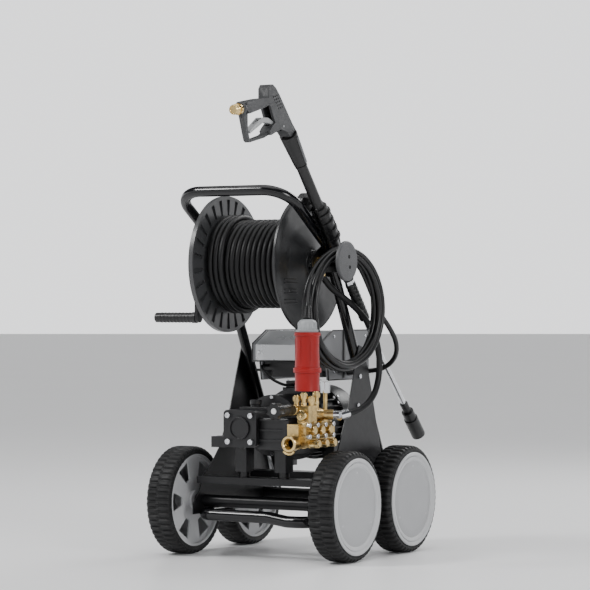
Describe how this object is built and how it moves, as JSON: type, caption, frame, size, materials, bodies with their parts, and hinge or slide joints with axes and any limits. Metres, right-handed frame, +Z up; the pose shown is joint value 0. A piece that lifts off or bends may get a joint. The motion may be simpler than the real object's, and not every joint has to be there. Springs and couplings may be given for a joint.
{
  "type": "pressure washer",
  "caption": "Cold-water pressure washer on a four-wheeled trolley with hose reel and crank, spray lance, motor and brass-headed pump, control box and hung power cable",
  "frame": {"origin": "floor point under the middle of the footprint, measured without the free cords", "axes": "+Z up, -Y the front with the pump and the handle bar, +X the side with the lance"},
  "size_m": [0.5706, 0.9096, 1.0978],
  "materials": {
    "box_grey": "satin grey with black edges",
    "box_silver": "satin silver coated sheet",
    "brass": "machined and cast brass",
    "cable_rubber": "smooth black rubber sheath",
    "cowl_black": "black moulded cowl",
    "gland_grey": "light grey plastic",
    "gun_grey": "textured dark grey plastic",
    "hose_rubber": "matte black rubber cover",
    "hub_grey": "light grey moulded plastic",
    "lever_grey": "satin grey plastic",
    "motor_black": "cast aluminium, black coat",
    "outlet_silver": "plated steel",
    "plastic_black": "fine textured black plastic",
    "plug_red": "gloss red plastic",
    "reel_grey": "dark grey moulded plastic",
    "sheet_black": "satin black powder coat",
    "swivel_brass": "turned brass",
    "tube_black": "gloss black powder coat",
    "tyre_black": "moulded black rubber",
    "zinc_steel": "zinc-plated and bright steel"
  },
  "bodies": {
    "trolley": {"handle_frame": "tube_black", "frame_plates": "sheet_black", "cross_members": "sheet_black", "bumper_tube": "tube_black", "axles": "zinc_steel", "fasteners": "zinc_steel", "reel_swivel": "swivel_brass", "lance_holder": "plastic_black", "cable_hook": "plastic_black", "cable_hook_plate": "reel_grey", "motor_housing": "motor_black", "bell_housing": "motor_black", "fan_cowl": "cowl_black", "terminal_box": "cowl_black", "control_box_base": "plastic_black", "control_box_cover": "box_silver", "control_box_ends": "box_grey", "crankcase": "motor_black", "crankcase_cover": "motor_black", "pump_head": "brass", "valve_caps": "brass", "plungers": "zinc_steel", "unloader_body": "brass", "outlet_elbow": "outlet_silver", "rubber_mounts": "hose_rubber", "pump_hose": "hose_rubber", "motor_lead": "cable_rubber", "power_cable": "cable_rubber", "power_cable_coil": "cable_rubber", "power_plug": "plug_red", "plug_gland": "gland_grey"},
    "wheel_front_left": {"tyre_front_left": "tyre_black", "hub_front_left": "hub_grey"},
    "wheel_front_right": {"tyre_front_right": "tyre_black", "hub_front_right": "hub_grey"},
    "wheel_rear_left": {"tyre_rear_left": "tyre_black", "hub_rear_left": "hub_grey"},
    "wheel_rear_right": {"tyre_rear_right": "tyre_black", "hub_rear_right": "hub_grey"},
    "reel": {"reel_drum": "reel_grey", "reel_flange_left": "reel_grey", "reel_flange_right": "reel_grey", "reel_shaft": "zinc_steel", "wound_hose": "hose_rubber", "crank_arm": "sheet_black"},
    "crank_handle": {"crank_grip": "plastic_black"},
    "lance": {"gun_shells": "gun_grey", "gun_inlet": "brass", "gun_valve": "brass", "lance_sleeve": "plastic_black", "lance_tube": "plastic_black", "lance_grip": "plastic_black", "lance_pipe": "zinc_steel", "nozzle_guard": "plastic_black"},
    "trigger": {"gun_trigger": "lever_grey"},
    "latch": {"gun_latch": "lever_grey"},
    "regulator": {"regulator_knob": "plastic_black"},
    "rotor": {"motor_rotor": "zinc_steel", "cooling_fan": "plastic_black"},
    "switch": {"switch_knob": "plastic_black"}
  },
  "joints": [
    {"name": "wheel_front_left_spin", "type": "hinge", "parent": "trolley", "child": "wheel_front_left", "pos_m": [-0.19175, -0.01512, 0.13], "axis": [1, 0, 0], "continuous": true},
    {"name": "wheel_front_right_spin", "type": "hinge", "parent": "trolley", "child": "wheel_front_right", "pos_m": [0.24925, -0.01512, 0.13], "axis": [1, 0, 0], "continuous": true},
    {"name": "wheel_rear_left_spin", "type": "hinge", "parent": "trolley", "child": "wheel_rear_left", "pos_m": [-0.19175, 0.27088, 0.13], "axis": [1, 0, 0], "continuous": true},
    {"name": "wheel_rear_right_spin", "type": "hinge", "parent": "trolley", "child": "wheel_rear_right", "pos_m": [0.24925, 0.27088, 0.13], "axis": [1, 0, 0], "continuous": true},
    {"name": "reel_spin", "type": "hinge", "parent": "trolley", "child": "reel", "pos_m": [0.02875, 0.00188, 0.7], "axis": [1, 0, 0], "continuous": true},
    {"name": "crank_handle_spin", "type": "hinge", "parent": "reel", "child": "crank_handle", "pos_m": [-0.22125, 0.00188, 0.571], "axis": [1, 0, 0], "continuous": true},
    {"name": "lance_lift", "type": "slide", "parent": "trolley", "child": "lance", "axis": [0, -0.6587, 0.7524], "range_m": [0, 0.13]},
    {"name": "trigger_pull", "type": "hinge", "parent": "lance", "child": "trigger", "pos_m": [0.20875, -0.25684, 1.00679], "axis": [-1, 0, 0], "range_deg": [0, 10], "stiffness_Nm_per_rad": 2},
    {"name": "latch_swing", "type": "hinge", "parent": "trigger", "child": "latch", "pos_m": [0.20875, -0.34951, 1.0094], "axis": [-1, 0, 0], "range_deg": [0, 55]},
    {"name": "regulator_turn", "type": "hinge", "parent": "trolley", "child": "regulator", "pos_m": [0.14175, -0.11812, 0.356], "axis": [0, -1, 0], "range_deg": [0, 270]},
    {"name": "rotor_spin", "type": "hinge", "parent": "trolley", "child": "rotor", "pos_m": [0.01975, 0.12788, 0.312], "axis": [0, 1, 0], "continuous": true},
    {"name": "switch_turn", "type": "hinge", "parent": "trolley", "child": "switch", "pos_m": [0.08875, 0.09288, 0.486], "axis": [0, -1, 0], "range_deg": [0, 90]}
  ]
}
